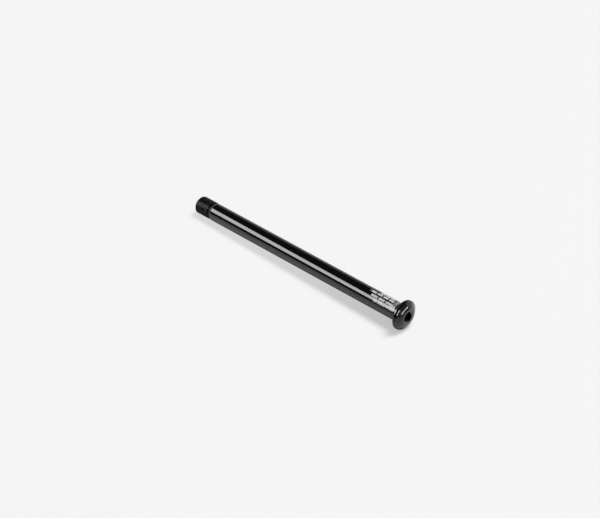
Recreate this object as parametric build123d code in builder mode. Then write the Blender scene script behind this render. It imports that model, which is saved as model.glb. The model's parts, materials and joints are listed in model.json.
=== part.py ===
from build123d import *
from math import radians, tan
import os

# A bicycle thru axle, turned and bored from one bar, lying along Y with its head at -Y.
# All sizes are in millimetres.

# Shaft
shaft_diameter = 12.0
under_head_length = 180.0  # from the seat under the head to the tip
bore_diameter = 5.8
bore_chamfer = 0.5

# Threaded end, as a plain cylinder of the thread's crest diameter
thread_undersize = 0.1  # crest diameter below the shaft's, so that the thread goes where the shaft fits
thread_length = 11.8  # from the tip to the relief groove
tip_chamfer = 1.1
relief_depth = 0.65  # from the crests to the floor of the groove
relief_width = 0.8
lead_length = 2.0  # gentle cone from the groove up to the shaft

# Head
head_diameter = 20.0
head_height = 4.5
rim_thickness = 1.95
cone_angle = 33.0  # between the head's cone and its face, in degrees
crown_radius = 5.0  # rounding from the cone into the face
rim_front_fillet = 1.4
rim_back_fillet = 0.45
seat_fillet = 0.4

# Hexagon socket for a key
hex_across_flats = 6.0
hex_depth = 8.0
hex_mouth_chamfer = 0.7  # turned cone at the mouth, beyond the flats
hex_turn = 45.0  # roll of the hexagon about the axle, in degrees

# Roll of the drawn section about the axle, in degrees: where the round faces begin and end
section_turn = 17.0

# Radii and stations along the axle, counted from the seat towards the tip
shaft_radius = shaft_diameter / 2
thread_radius = shaft_radius - thread_undersize / 2
relief_radius = thread_radius - relief_depth
head_radius = head_diameter / 2
face_corner_radius = head_radius - (head_height - rim_thickness) / tan(radians(cone_angle))
thread_start = under_head_length - thread_length
relief_start = thread_start - relief_width
lead_start = relief_start - lead_length

# The rim touches the ground, and the middle of the whole length stands over the origin
overall_length = under_head_length + head_height
axis_height = head_radius
seat_y = head_height - overall_length / 2
plan = Plane(origin=(0, seat_y, axis_height), x_dir=(0, 1, 0), z_dir=(0, 0, -1))
section_plane = plan.rotated((0, section_turn, 0))
tip_plane = Plane(
    origin=(0, seat_y + under_head_length, axis_height), x_dir=(-1, 0, 0), z_dir=(0, 1, 0)
)
face_plane = Plane(origin=(0, seat_y - head_height, axis_height), x_dir=(1, 0, 0), z_dir=(0, -1, 0))

# Corners of the turned section that are rounded
face_corner = (-head_height, face_corner_radius)
rim_front_corner = (-rim_thickness, head_radius)
rim_back_corner = (0, head_radius)
seat_corner = (0, shaft_radius)
rounded_corners = [
    (face_corner, crown_radius),
    (rim_front_corner, rim_front_fillet),
    (rim_back_corner, rim_back_fillet),
    (seat_corner, seat_fillet),
]

with BuildPart() as thru_axle:
    # Turned outside: head, shaft, lead cone, relief groove and threaded end
    with BuildSketch(section_plane) as section:
        with BuildLine():
            Polyline(
                (-head_height, 0),
                face_corner,
                rim_front_corner,
                rim_back_corner,
                seat_corner,
                (lead_start, shaft_radius),
                (relief_start, relief_radius),
                (thread_start, relief_radius),
                (thread_start, thread_radius),
                (under_head_length - tip_chamfer, thread_radius),
                (under_head_length, thread_radius - tip_chamfer),
                (under_head_length, 0),
                close=True,
            )
        make_face()
        for corner, radius in rounded_corners:
            fillet(section.vertices().sort_by_distance(Vector(*corner))[0], radius=radius)
    revolve(axis=Axis(section_plane.origin, section_plane.x_dir))

    # Bore from the tip up to the floor of the socket, broken at its mouth
    with Locations(tip_plane):
        Hole(radius=bore_diameter / 2, depth=overall_length - hex_depth)
    bore_mouth = thru_axle.edges().filter_by(GeomType.CIRCLE).group_by(Axis.Y)[-1].sort_by(SortBy.RADIUS)[0]
    chamfer(bore_mouth, length=bore_chamfer)

    # Hexagon socket, and the turned cone at its mouth
    with BuildSketch(face_plane):
        RegularPolygon(
            radius=hex_across_flats / 2, side_count=6, major_radius=False, rotation=hex_turn
        )
    extrude(amount=-hex_depth, mode=Mode.SUBTRACT)
    with BuildSketch(face_plane):
        Circle(radius=hex_across_flats / 2 + hex_mouth_chamfer)
    extrude(amount=-hex_mouth_chamfer, taper=45, mode=Mode.SUBTRACT)

thru_axle.part.label = "thru_axle"
os.makedirs("parts", exist_ok=True)
export_step(thru_axle.part, "parts/thru_axle.step")
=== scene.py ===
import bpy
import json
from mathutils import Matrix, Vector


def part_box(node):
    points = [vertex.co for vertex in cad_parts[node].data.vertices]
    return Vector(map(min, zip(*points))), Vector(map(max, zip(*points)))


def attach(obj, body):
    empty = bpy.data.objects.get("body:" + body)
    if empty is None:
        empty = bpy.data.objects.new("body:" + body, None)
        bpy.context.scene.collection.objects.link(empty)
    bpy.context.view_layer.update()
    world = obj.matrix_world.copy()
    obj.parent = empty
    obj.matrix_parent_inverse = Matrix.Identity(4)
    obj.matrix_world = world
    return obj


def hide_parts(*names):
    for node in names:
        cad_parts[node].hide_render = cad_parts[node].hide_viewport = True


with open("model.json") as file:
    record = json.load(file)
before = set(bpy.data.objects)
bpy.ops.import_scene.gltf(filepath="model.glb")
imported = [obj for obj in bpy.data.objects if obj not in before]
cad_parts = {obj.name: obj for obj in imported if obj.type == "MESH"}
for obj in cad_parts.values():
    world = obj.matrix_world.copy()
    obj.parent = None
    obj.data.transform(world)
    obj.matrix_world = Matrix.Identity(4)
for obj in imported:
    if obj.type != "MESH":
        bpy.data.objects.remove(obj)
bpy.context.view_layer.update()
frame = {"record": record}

import json
from math import atan2, cos, pi, radians, tan, tau
from typing import NamedTuple

import bmesh
import bpy
from mathutils import Matrix, Vector

bl_info = {
    "name": "Thru Axle",
    "version": (1, 0, 0),
    "blender": (4, 5, 0),
    "location": "3D View > Sidebar > Thru Axle",
    "description": "Turns, broaches, threads and finishes a bicycle thru axle, and sets the stage for it",
    "category": "Add Mesh",
}

NODE = "thru_axle"
BODY = "root"
MM = 0.001
MERGE_DISTANCE = MM / 1000

# What the frame gives: the axle lies along Y with its head at -Y
LOW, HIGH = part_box(NODE)
MOUNTS = {mount["name"]: mount for mount in frame["record"]["mounts"]}
FACE_Y, TIP_Y = LOW.y, HIGH.y
HEAD_RADIUS = (HIGH.z - LOW.z) / 2
AXIS_HEIGHT = LOW.z + HEAD_RADIUS
SEAT_Y = MOUNTS["seat"]["pos_m"][1]


def pin_ends(name):
    """The two ends along Y of a straight pin in the record, in metres."""
    pin = MOUNTS[name]
    half = pin["dims"]["length_mm"] * MM / 2
    return pin["pos_m"][1] - half, pin["pos_m"][1] + half


def pin_radius(name):
    """The radius of a straight pin in the record, in metres."""
    return MOUNTS[name]["dims"]["r_mm"] * MM


SHAFT_RADIUS, THREAD_RADIUS = pin_radius("shaft"), pin_radius("thread")
SHAFT_END_Y = pin_ends("shaft")[1]
THREAD_START_Y, THREAD_END_Y = pin_ends("thread")


def length(name, description, default):
    """A length property, in metres."""
    return bpy.props.FloatProperty(
        name=name, description=description, default=default, min=0.0, precision=5, unit="LENGTH"
    )


def angle(name, description, degrees):
    """An angle property, given in degrees and kept in radians."""
    return bpy.props.FloatProperty(
        name=name, description=description, default=radians(degrees), subtype="ANGLE"
    )


def share(name, description, default):
    """A property from 0 to 1."""
    return bpy.props.FloatProperty(
        name=name, description=description, default=default, min=0.0, max=1.0, subtype="FACTOR"
    )


def colour(name, description, default):
    """A linear colour property."""
    return bpy.props.FloatVectorProperty(
        name=name, description=description, default=default, min=0.0, max=1.0, subtype="COLOR"
    )


class ThruAxleSizes(bpy.types.PropertyGroup):
    """Sizes of the turned axle that the frame doesn't give"""

    facets: bpy.props.IntProperty(
        name="Facets", description="Facets round the axle", default=192, min=24, max=384
    )
    rim_thickness: length("Rim thickness", "Edge of the head, from the seat to the cone", 1.95 * MM)
    cone_angle: angle("Cone angle", "Between the head's cone and its face", 33.0)
    crown_radius: length("Crown radius", "Rounding from the cone into the face", 5.0 * MM)
    rim_front_fillet: length("Rim front fillet", "Rounding between rim and cone", 1.85 * MM)
    rim_back_fillet: length("Rim back fillet", "Rounding between rim and seat", 0.45 * MM)
    seat_fillet: length("Seat fillet", "Rounding between seat and shaft", 0.4 * MM)
    bore_radius: length("Bore radius", "Long hole through the shaft", 2.9 * MM)
    bore_chamfer: length("Bore chamfer", "Broken edge of the hole at the tip", 0.5 * MM)
    relief_depth: length("Relief depth", "From the thread's crests to the groove's floor", 0.65 * MM)
    relief_width: length("Relief width", "Groove between the thread and the lead cone", 0.8 * MM)
    thread_pitch: length("Thread pitch", "Advance of the thread in one turn", 1.0 * MM)
    thread_depth: length("Thread depth", "From the thread's crests to its roots", 0.61 * MM)
    crest_width: length("Crest width", "Flat left on the thread's crests", 0.125 * MM)
    hex_across_flats: length("Socket width", "Across the flats of the hexagon socket", 6.0 * MM)
    hex_depth: length("Socket depth", "From the face to the floor of the socket", 8.0 * MM)
    hex_mouth: length("Socket mouth", "Turned cone at the mouth, beyond the flats", 0.7 * MM)
    hex_turn: angle("Socket turn", "Roll of the hexagon about the axle", 45.0)


class ThruAxleFinish(bpy.types.PropertyGroup):
    """Colours and gloss of the axle"""

    black: colour("Black", "Anodised black", (0.0035, 0.0035, 0.0037))
    worn_black: colour("Lighter black", "The black where the dye is thinner", (0.0055, 0.0055, 0.0058))
    # Lighter black in patches on the outermost edge of the head's rim
    lighter_rim: colour("Worn edge", "The black rubbed thin on the head's rim", (0.040, 0.040, 0.041))
    ink: colour("Ink", "Printed bars near the head", (0.60, 0.60, 0.59))
    ink_roughness: share("Ink roughness", "Roughness of the printed bars", 0.35)
    gloss_roughness: share("Gloss", "Roughness of the shaft and the head", 0.08)
    satin_roughness: share("Satin", "Roughness of the thread, the bore and the socket", 0.32)
    satin_sheen: share("Satin sheen", "Specular level of the thread, the bore and the socket", 0.24)


class ThruAxleStage(bpy.types.PropertyGroup):
    """Camera, floor and lamps"""

    camera_azimuth: angle("Camera azimuth", "0 looks along +Y", -45.875)
    camera_elevation: angle("Camera elevation", "Above the floor", 36.139)
    camera_distance: length("Camera distance", "From the target", 1.4839)
    camera_lens: bpy.props.FloatProperty(
        name="Lens", description="Focal length in millimetres", default=139.2, subtype="DISTANCE_CAMERA"
    )
    target: bpy.props.FloatVectorProperty(
        name="Target",
        description="Point at the middle of the picture",
        default=(-0.361 * MM, 0.326 * MM, 9.721 * MM),
        subtype="TRANSLATION",
        unit="LENGTH",
    )
    floor_level: share("Floor level", "How bright the lit floor looks", 0.913)
    head_shade: share("Head shade", "Share of that level that the shadow takes near the head", 0.44)
    tip_shade: share("Tip shade", "The same near the tip, where the shadow is lighter", 0.265)
    mirrored_floor: share("Mirrored floor", "What the lamps give to the floor that the gloss shows", 0.66)
    mirrored_glow: share("Mirrored glow", "What the gloss shows of the floor in the shade too", 0.28)
    right_glow: share("Right glow", "What the gloss shows besides on the floor at the head's right", 0.47)
    shaft_glow: share("Shaft glow", "The same on the floor at the shaft's right", 0.15)
    wall_glow: share("Wall glow", "Pale wall that the gloss shows behind the axle", 0.50)
    right_wall_glow: share("Right wall glow", "Pale wall that the gloss shows at the right", 0.90)
    tip_wall_glow: share("Tip wall glow", "Pale wall that the gloss shows beyond the tip", 1.0)


# Modelling


def select_only(piece):
    """Makes a piece the only selected and active object, in object mode."""
    if bpy.context.mode != "OBJECT":
        bpy.ops.object.mode_set(mode="OBJECT")
    bpy.ops.object.select_all(action="DESELECT")
    piece.select_set(True)
    bpy.context.view_layer.objects.active = piece


def merge_and_face_out():
    """Merges the doubles of the mesh in edit mode, and turns its faces outwards."""
    bpy.ops.mesh.select_all(action="SELECT")
    bpy.ops.mesh.remove_doubles(threshold=MERGE_DISTANCE)
    bpy.ops.mesh.normals_make_consistent(inside=False)


class TurnedSection:
    """The axle's half section, drawn stroke by stroke above its axis and then spun round it."""

    landing = 0.05 * MM  # short stroke before and after a rounding, for clean shading
    arc_step = radians(8.0)  # about the turn of one chord of a rounding

    def __init__(self, name, y, radius):
        bpy.ops.object.select_all(action="DESELECT")
        bpy.ops.mesh.primitive_plane_add(size=MM, enter_editmode=True, location=(0, 0, 0))
        self.piece = bpy.context.object
        self.piece.name = name
        self.piece.data.name = name
        bpy.ops.mesh.merge(type="CENTER")
        self.start = self.pen = Vector((y, radius))
        bpy.ops.transform.translate(value=(0, y, AXIS_HEIGHT + radius))

    def line(self, y, radius):
        """A straight stroke to a station and radius."""
        stroke = Vector((y, radius)) - self.pen
        bpy.ops.mesh.extrude_region_move(TRANSFORM_OT_translate={"value": (0, stroke.x, stroke.y)})
        self.pen = Vector((y, radius))

    def round(self, corner, following, radius):
        """A stroke towards a corner, rounded there on its way to the following point."""
        corner, following = Vector(corner), Vector(following)
        towards = (corner - self.pen).normalized()
        onwards = (following - corner).normalized()
        turn = towards.angle_signed(onwards)
        reach = radius * tan(abs(turn) / 2)
        start, end = corner - towards * reach, corner + onwards * reach
        side = Vector((towards.y, -towards.x)) * (1 if turn > 0 else -1)
        centre = start + side * radius
        self.line(*(start - towards * self.landing))
        self.line(*start)
        bpy.ops.mesh.spin(
            steps=max(2, round(abs(turn) / self.arc_step)),
            angle=turn,
            center=(0, centre.x, AXIS_HEIGHT + centre.y),
            axis=(1, 0, 0),
        )
        self.pen = end
        self.line(*(end + onwards * self.landing))

    def spin(self, facets):
        """Closes the section, spins it round the axis and returns the turned piece."""
        self.line(*self.start)
        bpy.ops.mesh.select_all(action="SELECT")
        bpy.ops.mesh.remove_doubles(threshold=MERGE_DISTANCE)
        bpy.ops.mesh.spin(steps=facets, angle=tau, center=(0, 0, AXIS_HEIGHT), axis=(0, 1, 0))
        merge_and_face_out()
        bpy.ops.object.mode_set(mode="OBJECT")
        return self.piece


def socket_mouth(sizes):
    """Radius and depth of the turned cone at the socket's mouth, which ends at the bore's radius."""
    radius = sizes.hex_across_flats / 2 + sizes.hex_mouth
    return radius, radius - sizes.bore_radius


def turn_blank(sizes):
    """The turned and bored blank, with a plain cylinder where the thread goes."""
    relief_radius = THREAD_RADIUS - sizes.relief_depth
    relief_y = THREAD_START_Y - sizes.relief_width
    mouth_radius, mouth_depth = socket_mouth(sizes)
    rim_y = SEAT_Y - sizes.rim_thickness
    crown_edge = HEAD_RADIUS - (rim_y - FACE_Y) / tan(sizes.cone_angle)
    tip_chamfer = TIP_Y - THREAD_END_Y

    section = TurnedSection("axle_body", FACE_Y + mouth_depth, sizes.bore_radius)
    section.line(FACE_Y, mouth_radius)
    section.round((FACE_Y, crown_edge), (rim_y, HEAD_RADIUS), sizes.crown_radius)
    section.round((rim_y, HEAD_RADIUS), (SEAT_Y, HEAD_RADIUS), sizes.rim_front_fillet)
    section.round((SEAT_Y, HEAD_RADIUS), (SEAT_Y, SHAFT_RADIUS), sizes.rim_back_fillet)
    section.round((SEAT_Y, SHAFT_RADIUS), (SHAFT_END_Y, SHAFT_RADIUS), sizes.seat_fillet)
    section.line(SHAFT_END_Y, SHAFT_RADIUS)
    section.line(relief_y, relief_radius)
    section.line(THREAD_START_Y, relief_radius)
    section.line(THREAD_START_Y, THREAD_RADIUS)
    section.line(THREAD_END_Y, THREAD_RADIUS)
    section.line(TIP_Y, THREAD_RADIUS - tip_chamfer)
    section.line(TIP_Y, sizes.bore_radius + sizes.bore_chamfer)
    section.line(TIP_Y - sizes.bore_chamfer, sizes.bore_radius)
    return section.spin(sizes.facets)


def cut_away(piece, tool):
    """Takes a tool's shape out of a piece and removes the tool."""
    select_only(piece)
    bpy.ops.object.modifier_add(type="BOOLEAN")
    cut = piece.modifiers[-1]
    cut.operation = "DIFFERENCE"
    cut.solver = "EXACT"
    cut.object = tool
    bpy.ops.object.modifier_apply(modifier=cut.name)
    bpy.data.meshes.remove(tool.data)


def make_broach(sizes):
    """A hexagonal prism that reaches from before the face to the floor of the socket."""
    run_out = 1.0 * MM
    depth = sizes.hex_depth + run_out
    bpy.ops.object.select_all(action="DESELECT")
    bpy.ops.mesh.primitive_cylinder_add(
        vertices=6,
        radius=sizes.hex_across_flats / 2 / cos(pi / 6),
        depth=depth,
        location=(0, FACE_Y - run_out + depth / 2, AXIS_HEIGHT),
        rotation=(pi / 2, sizes.hex_turn, 0),
    )
    return bpy.context.object


def make_thread_cutter(sizes):
    """A V-shaped ridge wound round the axis, from the relief groove to beyond the tip."""
    steps = 96
    overhang = 0.1 * MM
    flank = tan(pi / 6)  # slope of each flank
    crest_half = (sizes.thread_pitch - sizes.crest_width) / 2
    outer_half = crest_half + overhang * flank
    root_half = crest_half - sizes.thread_depth * flank
    start_y = THREAD_START_Y - sizes.relief_width / 2
    turns = int((TIP_Y - start_y) / sizes.thread_pitch) + 2

    bpy.ops.object.select_all(action="DESELECT")
    bpy.ops.mesh.primitive_plane_add(size=1.0, location=(0, start_y, AXIS_HEIGHT), rotation=(0, pi / 2, 0))
    cutter = bpy.context.object
    bpy.ops.object.transform_apply(location=False, rotation=True, scale=True)
    corners = bmesh.new()
    corners.from_mesh(cutter.data)
    for corner in corners.verts:
        outer = corner.co.z > 0
        half = outer_half if outer else root_half
        radius = THREAD_RADIUS + overhang if outer else THREAD_RADIUS - sizes.thread_depth
        corner.co = (0, half if corner.co.y > 0 else -half, radius)
    bmesh.ops.delete(corners, geom=corners.faces[:], context="FACES_ONLY")
    corners.to_mesh(cutter.data)
    corners.free()

    bpy.ops.object.modifier_add(type="SCREW")
    screw = cutter.modifiers[-1]
    screw.axis = "Y"
    screw.screw_offset = sizes.thread_pitch
    screw.iterations = turns
    screw.steps = screw.render_steps = steps
    screw.use_merge_vertices = False
    bpy.ops.object.modifier_apply(modifier=screw.name)
    bpy.ops.object.mode_set(mode="EDIT")
    bpy.ops.mesh.select_all(action="SELECT")
    bpy.ops.mesh.fill_holes(sides=0)
    bpy.ops.mesh.select_all(action="SELECT")
    bpy.ops.mesh.normals_make_consistent(inside=False)
    bpy.ops.object.mode_set(mode="OBJECT")
    return cutter


def smooth_and_close(piece):
    """Merges what the cuts left double, turns the faces outwards and smooths between sharp edges."""
    select_only(piece)
    bpy.ops.object.mode_set(mode="EDIT")
    merge_and_face_out()
    bpy.ops.object.mode_set(mode="OBJECT")
    bpy.ops.object.shade_smooth_by_angle(angle=radians(15.0))
    shell = bmesh.new()
    shell.from_mesh(piece.data)
    open_edges = sum(not edge.is_manifold for edge in shell.edges)
    shell.free()
    if open_edges:
        raise RuntimeError(f"{piece.name} has {open_edges} open edges")


def give_materials(piece, sizes, gloss, satin):
    """The gloss all over, and the satin on the threaded end, in the bore and in the socket."""
    select_only(piece)
    piece.data.materials.append(gloss)
    piece.data.materials.append(satin)
    mouth_radius, mouth_depth = socket_mouth(sizes)
    for face in piece.data.polygons:
        x, y, z = face.center
        off_axis = Vector((x, z - AXIS_HEIGHT)).length
        threaded = y > SHAFT_END_Y
        inside = off_axis < mouth_radius and y > FACE_Y + mouth_depth
        face.material_index = 1 if threaded or inside else 0


# Materials


def add_node(tree, kind, x, y, **settings):
    """A node of a kind at a place in the tree, with its settings and its inputs by name."""
    node = tree.nodes.new(kind)
    node.location = (x, y)
    values = settings.pop("inputs", {})
    for name, value in settings.items():
        setattr(node, name, value)
    for name, value in values.items():
        node.inputs[name].default_value = value
    return node


def add_math(tree, operation, x, y, first, second=None):
    """A Math node whose two inputs are sockets or numbers. Returns its output."""
    node = add_node(tree, "ShaderNodeMath", x, y, operation=operation)
    for socket, value in zip(node.inputs, (first, second)):
        if isinstance(value, bpy.types.NodeSocket):
            tree.links.new(value, socket)
        elif value is not None:
            socket.default_value = value
    return node.outputs[0]


def add_chain(tree, operation, x, y, *values):
    """Several values joined by Math nodes of one operation. Returns the last output."""
    result = values[0]
    for step, value in enumerate(values[1:]):
        result = add_math(tree, operation, x + 180 * step, y, result, value)
    return result


def add_mix(tree, x, y, factor, first, second):
    """A colour mix whose inputs are sockets or values. Returns its output."""
    node = add_node(tree, "ShaderNodeMix", x, y, data_type="RGBA")
    for socket, value in zip((node.inputs[0], node.inputs[6], node.inputs[7]), (factor, first, second)):
        if isinstance(value, bpy.types.NodeSocket):
            tree.links.new(value, socket)
        else:
            socket.default_value = value
    return node.outputs[2]


def add_ramp(tree, x, y, value, start, end, first=0.0, last=1.0):
    """A smooth ramp between two results while a value goes from start to end. Returns its output."""
    node = add_node(
        tree,
        "ShaderNodeMapRange",
        x,
        y,
        interpolation_type="SMOOTHSTEP",
        inputs={"From Min": start, "From Max": end, "To Min": first, "To Max": last},
    )
    tree.links.new(value, node.inputs["Value"])
    return node.outputs[0]


def turning_marks_group():
    """Fine rings left by the lathe, and patches of duller and brighter gloss."""
    tree = bpy.data.node_groups.new("Turning marks", "ShaderNodeTree")
    for name, kind, default in (
        ("Vector", "NodeSocketVector", None),
        ("Rings per metre", "NodeSocketFloat", 2200.0),
        ("Roughness", "NodeSocketFloat", 0.15),
        ("Spread", "NodeSocketFloat", 0.03),
    ):
        socket = tree.interface.new_socket(name, in_out="INPUT", socket_type=kind)
        if default is not None:
            socket.default_value = default
    for name in ("Height", "Patches", "Roughness", "Radius"):
        tree.interface.new_socket(name, in_out="OUTPUT", socket_type="NodeSocketFloat")
    given = add_node(tree, "NodeGroupInput", -900, 0)
    result = add_node(tree, "NodeGroupOutput", 500, 0)
    parts = add_node(tree, "ShaderNodeSeparateXYZ", -700, 100)
    tree.links.new(given.outputs["Vector"], parts.inputs[0])
    across = add_math(tree, "MULTIPLY", -520, 200, parts.outputs["X"], parts.outputs["X"])
    height = add_math(tree, "MULTIPLY", -520, 40, parts.outputs["Z"], parts.outputs["Z"])
    radius = add_math(tree, "SQRT", -200, 120, add_math(tree, "ADD", -360, 120, across, height))
    path = add_math(tree, "ADD", -40, 120, radius, parts.outputs["Y"])
    rings = add_node(
        tree, "ShaderNodeTexNoise", 140, 160, noise_dimensions="1D", inputs={"Detail": 3.0, "Roughness": 0.6}
    )
    tree.links.new(path, rings.inputs["W"])
    tree.links.new(given.outputs["Rings per metre"], rings.inputs["Scale"])
    patches = add_node(
        tree, "ShaderNodeTexNoise", -200, -160, inputs={"Scale": 420.0, "Detail": 4.0, "Roughness": 0.55}
    )
    tree.links.new(given.outputs["Vector"], patches.inputs["Vector"])
    offset = add_math(tree, "SUBTRACT", 0, -160, patches.outputs["Fac"], 0.5)
    swing = add_math(tree, "MULTIPLY", 160, -160, offset, given.outputs["Spread"])
    roughness = add_math(tree, "ADD", 320, -160, swing, given.outputs["Roughness"])
    tree.links.new(rings.outputs["Fac"], result.inputs["Height"])
    tree.links.new(patches.outputs["Fac"], result.inputs["Patches"])
    tree.links.new(roughness, result.inputs["Roughness"])
    tree.links.new(radius, result.inputs["Radius"])
    return tree


def new_material(name):
    """A material with nothing in it but its shader and its output."""
    material = bpy.data.materials.new(name)
    material.use_nodes = True
    tree = material.node_tree
    tree.nodes.clear()
    output = add_node(tree, "ShaderNodeOutputMaterial", 900, 0)
    shader = add_node(tree, "ShaderNodeBsdfPrincipled", 600, 0)
    tree.links.new(shader.outputs[0], output.inputs["Surface"])
    return material, tree, shader


def axle_vector(tree):
    """Object coordinates counted from the axle's own axis."""
    place = add_node(tree, "ShaderNodeTexCoord", -1300, 0)
    centred = add_node(tree, "ShaderNodeMapping", -1100, 0, inputs={"Location": (0, 0, -AXIS_HEIGHT)})
    tree.links.new(place.outputs["Object"], centred.inputs["Vector"])
    return centred.outputs[0]


def within(tree, x, y, value, low, high):
    """1 where a value lies between two limits, and 0 elsewhere."""
    above = add_math(tree, "GREATER_THAN", x, y, value, low)
    below = add_math(tree, "LESS_THAN", x, y - 160, value, high)
    return add_math(tree, "MULTIPLY", x + 160, y, above, below)


class PrintedRow(NamedTuple):
    """A row of printed bars, in degrees round the axle and in millimetres from the seat."""

    middle: float
    half_height: float
    start: float
    end: float
    repeat: float
    inked: float  # share of the repeat


PRINTED_ROWS = (
    PrintedRow(middle=90.0, half_height=29.0, start=3.6, end=6.3, repeat=0.65, inked=0.42),
    PrintedRow(middle=126.5, half_height=7.5, start=3.5, end=8.3, repeat=1.6, inked=0.86),
    PrintedRow(middle=74.0, half_height=7.5, start=7.8, end=19.4, repeat=4.0, inked=0.86),
    PrintedRow(middle=94.5, half_height=7.0, start=6.8, end=26.2, repeat=4.8, inked=0.82),
    PrintedRow(middle=119.5, half_height=7.5, start=6.4, end=23.9, repeat=6.0, inked=0.86),
    PrintedRow(middle=143.0, half_height=9.0, start=3.2, end=20.5, repeat=7.2, inked=0.92),
)


def marking_mask(tree, vector):
    """Plain printed bars near the head, in ruled blocks and rows: 1 on the ink and 0 beside it."""
    parts = add_node(tree, "ShaderNodeSeparateXYZ", -900, -500)
    tree.links.new(vector, parts.inputs[0])
    turn = add_math(tree, "ARCTAN2", -700, -500, parts.outputs["Z"], parts.outputs["X"])
    station = add_math(tree, "SUBTRACT", -700, -700, parts.outputs["Y"], SEAT_Y)
    printed = []
    for index, row in enumerate(PRINTED_ROWS):
        y = -500 - 420 * index
        lower, upper = radians(row.middle - row.half_height), radians(row.middle + row.half_height)
        band = within(tree, -500, y, turn, lower, upper)
        run = within(tree, -160, y, station, row.start * MM, row.end * MM)
        shifted = add_math(tree, "SUBTRACT", -500, y - 320, station, row.start * MM)
        repeats = add_math(tree, "DIVIDE", -340, y - 320, shifted, row.repeat * MM)
        bar = add_math(tree, "FRACT", -180, y - 320, repeats)
        solid = add_math(tree, "LESS_THAN", -20, y - 320, bar, row.inked)
        printed.append(add_chain(tree, "MULTIPLY", 180, y, band, run, solid))
    return add_chain(tree, "MAXIMUM", 700, -500, *printed)


def add_turning_marks(tree, marks, vector, rings_per_metre, roughness, spread):
    """The turning marks along a vector, as a node."""
    node = add_node(
        tree,
        "ShaderNodeGroup",
        -700,
        100,
        node_tree=marks,
        inputs={"Rings per metre": rings_per_metre, "Roughness": roughness, "Spread": spread},
    )
    tree.links.new(vector, node.inputs["Vector"])
    return node


def add_dyed_black(tree, finish, rings):
    """Black that is lighter in patches, where the dye is thinner. Returns its colour."""
    return add_mix(tree, -200, 240, rings.outputs["Patches"], (*finish.black, 1), (*finish.worn_black, 1))


def add_ring_bump(tree, rings, shader, strength):
    """Raises the lathe rings a little in a shader's normal."""
    bump = add_node(tree, "ShaderNodeBump", 400, -200, inputs={"Strength": strength, "Distance": 0.02 * MM})
    tree.links.new(rings.outputs["Height"], bump.inputs["Height"])
    tree.links.new(bump.outputs[0], shader.inputs["Normal"])


def gloss_material(finish, marks):
    """Gloss black with lathe rings under it, a rim lighter in patches and the printed bars on it."""
    material, tree, shader = new_material("gloss_black")
    vector = axle_vector(tree)
    rings = add_turning_marks(
        tree, marks, vector, rings_per_metre=2200.0, roughness=finish.gloss_roughness, spread=0.05
    )
    # The outermost edge of the head's rim is lighter black in patches
    lighter_start, lighter_end = HEAD_RADIUS - 0.10 * MM, HEAD_RADIUS - 0.02 * MM
    edge = add_ramp(tree, -400, 500, rings.outputs["Radius"], lighter_start, lighter_end)
    lightened = add_math(tree, "MULTIPLY", -200, 500, edge, rings.outputs["Patches"])
    black = add_mix(tree, 0, 240, lightened, add_dyed_black(tree, finish, rings), (*finish.lighter_rim, 1))
    mask = marking_mask(tree, vector)
    inked = add_mix(tree, 200, 240, mask, black, (*finish.ink, 1))
    tree.links.new(inked, shader.inputs["Base Color"])
    dull = add_math(tree, "MULTIPLY", 0, -100, mask, finish.ink_roughness)
    roughness = add_math(tree, "MAXIMUM", 200, -100, rings.outputs["Roughness"], dull)
    tree.links.new(roughness, shader.inputs["Roughness"])
    add_ring_bump(tree, rings, shader, strength=0.06)
    return material


def satin_material(finish, marks):
    """Duller black on the thread and inside the holes."""
    material, tree, shader = new_material("satin_black")
    vector = axle_vector(tree)
    rings = add_turning_marks(
        tree, marks, vector, rings_per_metre=3800.0, roughness=finish.satin_roughness, spread=0.10
    )
    tree.links.new(add_dyed_black(tree, finish, rings), shader.inputs["Base Color"])
    tree.links.new(rings.outputs["Roughness"], shader.inputs["Roughness"])
    shader.inputs["Specular IOR Level"].default_value = finish.satin_sheen
    add_ring_bump(tree, rings, shader, strength=0.15)
    return material


# Stage


def lean_frame(point):
    """A frame at a point, leaned as the floor is: the axle lies on its rim and on the thread's end."""
    lean = atan2(HEAD_RADIUS - THREAD_RADIUS, THREAD_END_Y - SEAT_Y)
    return Matrix.Translation(point) @ Matrix.Rotation(lean, 4, "X")


def orbit(target, azimuth, elevation, distance):
    """Where a camera or a lamp stands that looks at the target from an azimuth and elevation."""
    swing = Matrix.Rotation(azimuth, 4, "Z") @ Matrix.Rotation(pi / 2 - elevation, 4, "X")
    return lean_frame(target) @ swing @ Matrix.Translation((0, 0, distance))


def ray_mask(tree, x, y, *names):
    """1 for the rays that any of the Light Path outputs names, and 0 for the others."""
    path = add_node(tree, "ShaderNodeLightPath", x, y)
    return add_chain(tree, "MAXIMUM", x + 180, y, *(path.outputs[name] for name in names))


# Where the floor changes, in millimetres: across from the axle to its right, along from the seat
# to the tip, and on a slant, which adds a share of the first to the second
SHADE_RUN = (-32.0, 138.0)
HEAD_RIGHT = (-4.0, 6.0)
SEAT_LINE = (-3.0, 6.0)
HEAD_SLANT = (-13.5, -8.5)
SLANT_SHARE = 0.75


def floor_ramp(tree, row, value, ends, first=0.0, last=1.0):
    """A ramp between two ends on the floor, which are in millimetres. Returns its output."""
    return add_ramp(tree, -500, -300 - 260 * row, value, ends[0] * MM, ends[1] * MM, first, last)


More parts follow.
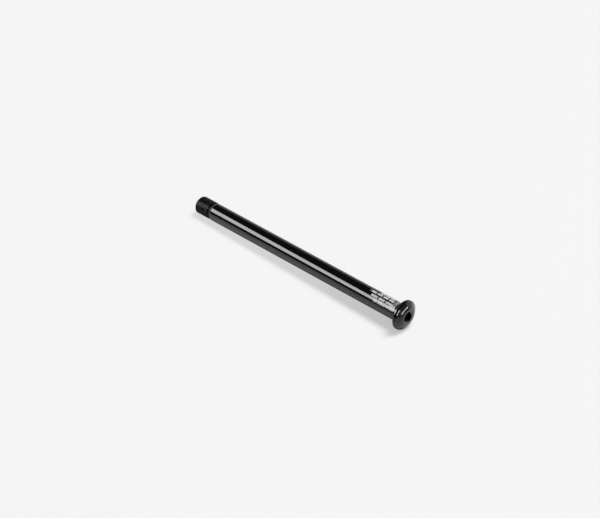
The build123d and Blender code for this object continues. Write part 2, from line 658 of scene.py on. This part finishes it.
def mirrored_shade(tree, across, along, slant):
    """Painted shade for the gloss: the share of the floor's light at each place. Returns its output."""
    corner_shade, left_shade, under_shade = 0.5, 0.45, 0.35
    aside = add_math(tree, "ABSOLUTE", -700, -760, across)
    ahead = floor_ramp(tree, 0, along, (-85, -18), 0.5, 1.08)
    far_left = floor_ramp(tree, 1, across, (-160, -60), 0.15, 1.0)
    towards_tip = floor_ramp(tree, 2, along, (20, 170), 0.96, 1.12)

    # Three places are dim only where both of their ramps are: ahead of the head at its right,
    # ahead of the seat at the left, and close under the shaft
    past_slant = floor_ramp(tree, 3, slant, HEAD_SLANT, corner_shade, 1.0)
    left_of_head = floor_ramp(tree, 4, across, HEAD_RIGHT, 1.0, corner_shade)
    front_right = add_math(tree, "MAXIMUM", -300, -1080, past_slant, left_of_head)
    near_left = floor_ramp(tree, 5, across, (-34, -20), left_shade, 1.0)
    past_seat = floor_ramp(tree, 6, along, (-2, 6), left_shade, 1.0)
    front_left = add_math(tree, "MAXIMUM", -300, -1600, near_left, past_seat)
    beside_shaft = floor_ramp(tree, 7, aside, (1, 8), under_shade, 1.0)
    before_seat = floor_ramp(tree, 8, along, (-6, -2), 1.0, under_shade)
    under_shaft = add_math(tree, "MAXIMUM", -300, -2120, beside_shaft, before_seat)

    places = (ahead, far_left, towards_tip, front_right, front_left, under_shaft)
    return add_chain(tree, "MULTIPLY", -120, -300, *places)


def mirrored_right_glow(tree, stage, across, along, slant):
    """A painted patch of light on the floor at the axle's right, which only the gloss shows. Returns its
    output.
    """
    right_of_head = floor_ramp(tree, 9, across, HEAD_RIGHT)
    past_slant = floor_ramp(tree, 10, slant, HEAD_SLANT)
    head_glow = floor_ramp(tree, 11, along, SEAT_LINE, stage.right_glow, 0.0)
    right_of_shaft = floor_ramp(tree, 12, across, (8, 18))
    shaft_glow = floor_ramp(tree, 13, along, SEAT_LINE, 0.0, stage.shaft_glow)
    by_head = add_chain(tree, "MULTIPLY", -300, -2640, right_of_head, past_slant, head_glow)
    by_shaft = add_math(tree, "MULTIPLY", -300, -3420, right_of_shaft, shaft_glow)
    return add_math(tree, "ADD", 40, -2640, by_head, by_shaft)


def floor_material(stage):
    """A pale floor that keeps the axle's shadow over a glow, and that the gloss shows with more contrast."""
    material = bpy.data.materials.new("pale_floor")
    material.use_nodes = True
    tree = material.node_tree
    tree.nodes.clear()
    output = add_node(tree, "ShaderNodeOutputMaterial", 600, 0)
    both = add_node(tree, "ShaderNodeAddShader", 400, 0)
    matt = add_node(tree, "ShaderNodeBsdfDiffuse", 200, 100)
    glow = add_node(tree, "ShaderNodeEmission", 200, -100)
    place = add_node(tree, "ShaderNodeTexCoord", -1300, -300)
    parts = add_node(tree, "ShaderNodeSeparateXYZ", -1100, -300)
    tree.links.new(place.outputs["Object"], parts.inputs[0])
    across, along = parts.outputs["X"], parts.outputs["Y"]
    rightwards = add_math(tree, "MULTIPLY", -900, -560, across, SLANT_SHARE)
    slant = add_math(tree, "ADD", -700, -560, along, rightwards)

    # To the camera, what the lamps give and the glow add up to one level
    seen = ray_mask(tree, -700, 300, "Is Camera Ray")
    lamps = floor_ramp(tree, -2, along, SHADE_RUN, stage.head_shade, stage.tip_shade)
    rest = add_math(tree, "SUBTRACT", -500, 0, stage.floor_level, lamps)
    seen_glow = add_math(tree, "MULTIPLY", -300, 0, seen, rest)

    # In the gloss, it is shaded round the axle, and brighter at the right
    mirrored = ray_mask(tree, -700, -1000, "Is Glossy Ray", "Is Transmission Ray")
    shade = mirrored_shade(tree, across, along, slant)
    right = mirrored_right_glow(tree, stage, across, along, slant)
    shaded_glow = add_math(tree, "MULTIPLY", 40, -560, shade, stage.mirrored_glow)
    level = add_math(tree, "ADD", 40, -800, shaded_glow, right)
    mirrored_glow = add_math(tree, "MULTIPLY", 40, -400, mirrored, level)
    mirrored_floor = add_math(tree, "MULTIPLY", 40, -200, shade, stage.mirrored_floor)

    tree.links.new(add_mix(tree, 0, 200, seen, mirrored_floor, lamps), matt.inputs["Color"])
    tree.links.new(add_math(tree, "ADD", 40, -100, seen_glow, mirrored_glow), glow.inputs["Strength"])
    tree.links.new(matt.outputs[0], both.inputs[0])
    tree.links.new(glow.outputs[0], both.inputs[1])
    tree.links.new(both.outputs[0], output.inputs["Surface"])
    return material


def add_floor(stage):
    """The leaned floor that the rim and the thread's end touch, with its origin under the seat."""
    bpy.ops.object.select_all(action="DESELECT")
    bpy.ops.mesh.primitive_plane_add(size=8.0)
    floor = bpy.context.object
    floor.name = "floor"
    floor.matrix_world = lean_frame((0, SEAT_Y, LOW.z))
    floor.data.materials.append(floor_material(stage))


class Lamp(NamedTuple):
    """A soft panel: its direction and distance from its aim, and its size, in degrees and metres."""

    direction: tuple  # azimuth and elevation
    distance: float
    size: tuple
    radiance: float
    roll: float = 0.0


# The key throws the shadow, the left panel is the long highlight of the shaft, and the others are
# highlights of the head
KEY = Lamp(direction=(62.0, 69.1), distance=20.0, size=(8.0, 8.8), radiance=17.95)
LEFT_PANEL = Lamp(direction=(-135.0, 31.5), distance=0.9, size=(0.8, 0.41), radiance=9.6)
HEAD_PANELS = {
    "right_strip": Lamp(direction=(18.2, 7.1), distance=0.9, size=(0.73, 0.14), radiance=12.0, roll=9.0),
    "low_strip": Lamp(direction=(6.0, -1.5), distance=0.12, size=(0.030, 0.014), radiance=9.0),
    "right_fill": Lamp(direction=(19.0, 21.0), distance=0.95, size=(0.64, 0.30), radiance=0.24),
    "right_spot": Lamp(direction=(38.0, 11.0), distance=0.9, size=(0.10, 0.08), radiance=15.0),
    "front_strip": Lamp(direction=(-14.9, 11.2), distance=0.9, size=(0.43, 0.20), radiance=23.0, roll=51.0),
}


def add_lamp(name, lamp, aim, gloss=True):
    """A lamp that looks at its aim, and either shows only in the gloss or lights all but the gloss."""
    bpy.ops.object.light_add(type="AREA")
    panel = bpy.context.object
    panel.name = name
    panel.data.shape = "RECTANGLE"
    width, height = lamp.size
    panel.data.size, panel.data.size_y = width, height
    panel.data.energy = lamp.radiance * pi * width * height
    azimuth, elevation = lamp.direction
    place = orbit(aim, radians(azimuth), radians(elevation), lamp.distance)
    panel.matrix_world = place @ Matrix.Rotation(radians(lamp.roll), 4, "Z")
    panel.visible_camera = False
    panel.visible_glossy = gloss
    panel.visible_diffuse = not gloss


def add_lamps(target):
    """The key and the left panel look at the axle's middle, and the other panels at the head's face."""
    add_lamp("key", KEY, target, gloss=False)
    add_lamp("left_panel", LEFT_PANEL, target)
    for name, panel in HEAD_PANELS.items():
        add_lamp(name, panel, Vector((0, FACE_Y, AXIS_HEIGHT)))


def add_world(stage):
    """Pale to the camera. In the gloss, pale walls behind the axle, at its right and beyond its tip."""
    seen_level, fill_level, dark_room = 0.91, 0.12, 0.004
    world = bpy.data.worlds.new("studio")
    bpy.context.scene.world = world
    world.use_nodes = True
    tree = world.node_tree
    tree.nodes.clear()
    output = add_node(tree, "ShaderNodeOutputWorld", 800, 0)
    light = add_node(tree, "ShaderNodeBackground", 600, 0)
    tree.links.new(light.outputs[0], output.inputs["Surface"])
    place = add_node(tree, "ShaderNodeTexCoord", -900, 200)
    parts = add_node(tree, "ShaderNodeSeparateXYZ", -700, 200)
    tree.links.new(place.outputs["Generated"], parts.inputs[0])
    x, y, z = (parts.outputs[name] for name in "XYZ")

    # A wall lies between ramps over the X, Y and Z of the direction that is looked in
    backwards = add_ramp(tree, -300, 0, add_math(tree, "ADD", -500, 0, x, y), 0.35, 0.65)
    back_height = add_ramp(tree, -300, 300, z, 0.44, 0.54, stage.wall_glow, 0.0)
    rightwards = add_ramp(tree, -300, 600, x, 0.58, 0.68)
    right_height = add_ramp(tree, -300, 900, z, 0.56, 0.68, stage.right_wall_glow, 0.0)
    right_end = add_ramp(tree, -300, 1200, y, -0.2, 0.0, 1.0, 0.0)
    tip_height = add_ramp(tree, -300, 1500, z, 0.36, 0.5, stage.tip_wall_glow, 0.0)
    tipwards = add_ramp(tree, -300, 1800, y, 0.64, 0.78)
    back_wall = add_math(tree, "MULTIPLY", -100, 0, backwards, back_height)
    right_wall = add_chain(tree, "MULTIPLY", -100, 600, rightwards, right_height, right_end)
    tip_wall = add_math(tree, "MULTIPLY", -100, 1500, tip_height, tipwards)
    room = add_chain(tree, "ADD", 60, 300, back_wall, right_wall, tip_wall, dark_room)

    gloss = ray_mask(tree, -300, -300, "Is Glossy Ray", "Is Transmission Ray")
    camera = ray_mask(tree, 100, -300, "Is Camera Ray")
    others = add_mix(tree, 250, 100, gloss, (fill_level, fill_level, fill_level, 1), room)
    pale = add_mix(tree, 420, 0, camera, others, (seen_level, seen_level, seen_level, 1))
    tree.links.new(pale, light.inputs["Color"])


def add_camera(stage, target):
    """The camera at the photograph's viewing angle."""
    bpy.ops.object.camera_add()
    camera = bpy.context.object
    camera.data.lens = stage.camera_lens
    camera.data.sensor_width = 36.0
    camera.data.clip_start, camera.data.clip_end = 0.01, 50.0
    direction = stage.camera_azimuth, stage.camera_elevation
    camera.matrix_world = orbit(target, *direction, stage.camera_distance)
    bpy.context.scene.camera = camera


# Operators


class THRU_AXLE_OT_turn_axle(bpy.types.Operator):
    """Turn the axle, broach its socket, cut its thread and give it its finish"""

    bl_idname = "thru_axle.turn_axle"
    bl_label = "Turn Axle"
    bl_options = {"REGISTER", "UNDO"}

    def execute(self, context):
        sizes = context.scene.thru_axle_sizes
        finish = context.scene.thru_axle_finish
        axle = turn_blank(sizes)
        cut_away(axle, make_broach(sizes))
        cut_away(axle, make_thread_cutter(sizes))
        smooth_and_close(axle)
        marks = turning_marks_group()
        give_materials(axle, sizes, gloss_material(finish, marks), satin_material(finish, marks))
        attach(axle, BODY)
        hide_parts(NODE)
        return {"FINISHED"}


class THRU_AXLE_OT_set_stage(bpy.types.Operator):
    """Set the floor, the lamps and the camera"""

    bl_idname = "thru_axle.set_stage"
    bl_label = "Set Stage"
    bl_options = {"REGISTER", "UNDO"}

    def execute(self, context):
        stage = context.scene.thru_axle_stage
        target = Vector(stage.target)
        add_floor(stage)
        add_world(stage)
        add_lamps(target)
        add_camera(stage, target)
        context.scene.view_settings.view_transform = "Standard"
        return {"FINISHED"}


class THRU_AXLE_PT_panel(bpy.types.Panel):
    """Sidebar panel of the thru axle"""

    bl_label = "Thru Axle"
    bl_idname = "THRU_AXLE_PT_panel"
    bl_space_type = "VIEW_3D"
    bl_region_type = "UI"
    bl_category = "Thru Axle"

    def draw(self, context):
        for group in (
            context.scene.thru_axle_sizes,
            context.scene.thru_axle_finish,
            context.scene.thru_axle_stage,
        ):
            for name in group.__annotations__:
                self.layout.prop(group, name)
        self.layout.operator(THRU_AXLE_OT_turn_axle.bl_idname)
        self.layout.operator(THRU_AXLE_OT_set_stage.bl_idname)


CLASSES = (
    ThruAxleSizes,
    ThruAxleFinish,
    ThruAxleStage,
    THRU_AXLE_OT_turn_axle,
    THRU_AXLE_OT_set_stage,
    THRU_AXLE_PT_panel,
)


def register():
    """Registers the classes and puts the sizes, the finish and the stage on the scene."""
    for cls in CLASSES:
        bpy.utils.register_class(cls)
    bpy.types.Scene.thru_axle_sizes = bpy.props.PointerProperty(type=ThruAxleSizes)
    bpy.types.Scene.thru_axle_finish = bpy.props.PointerProperty(type=ThruAxleFinish)
    bpy.types.Scene.thru_axle_stage = bpy.props.PointerProperty(type=ThruAxleStage)


def unregister():
    """Takes them off again."""
    del bpy.types.Scene.thru_axle_stage
    del bpy.types.Scene.thru_axle_finish
    del bpy.types.Scene.thru_axle_sizes
    for cls in reversed(CLASSES):
        bpy.utils.unregister_class(cls)


def main():
    """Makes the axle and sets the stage."""
    register()
    bpy.ops.thru_axle.turn_axle()
    bpy.ops.thru_axle.set_stage()


if __name__ == "__main__":
    main()
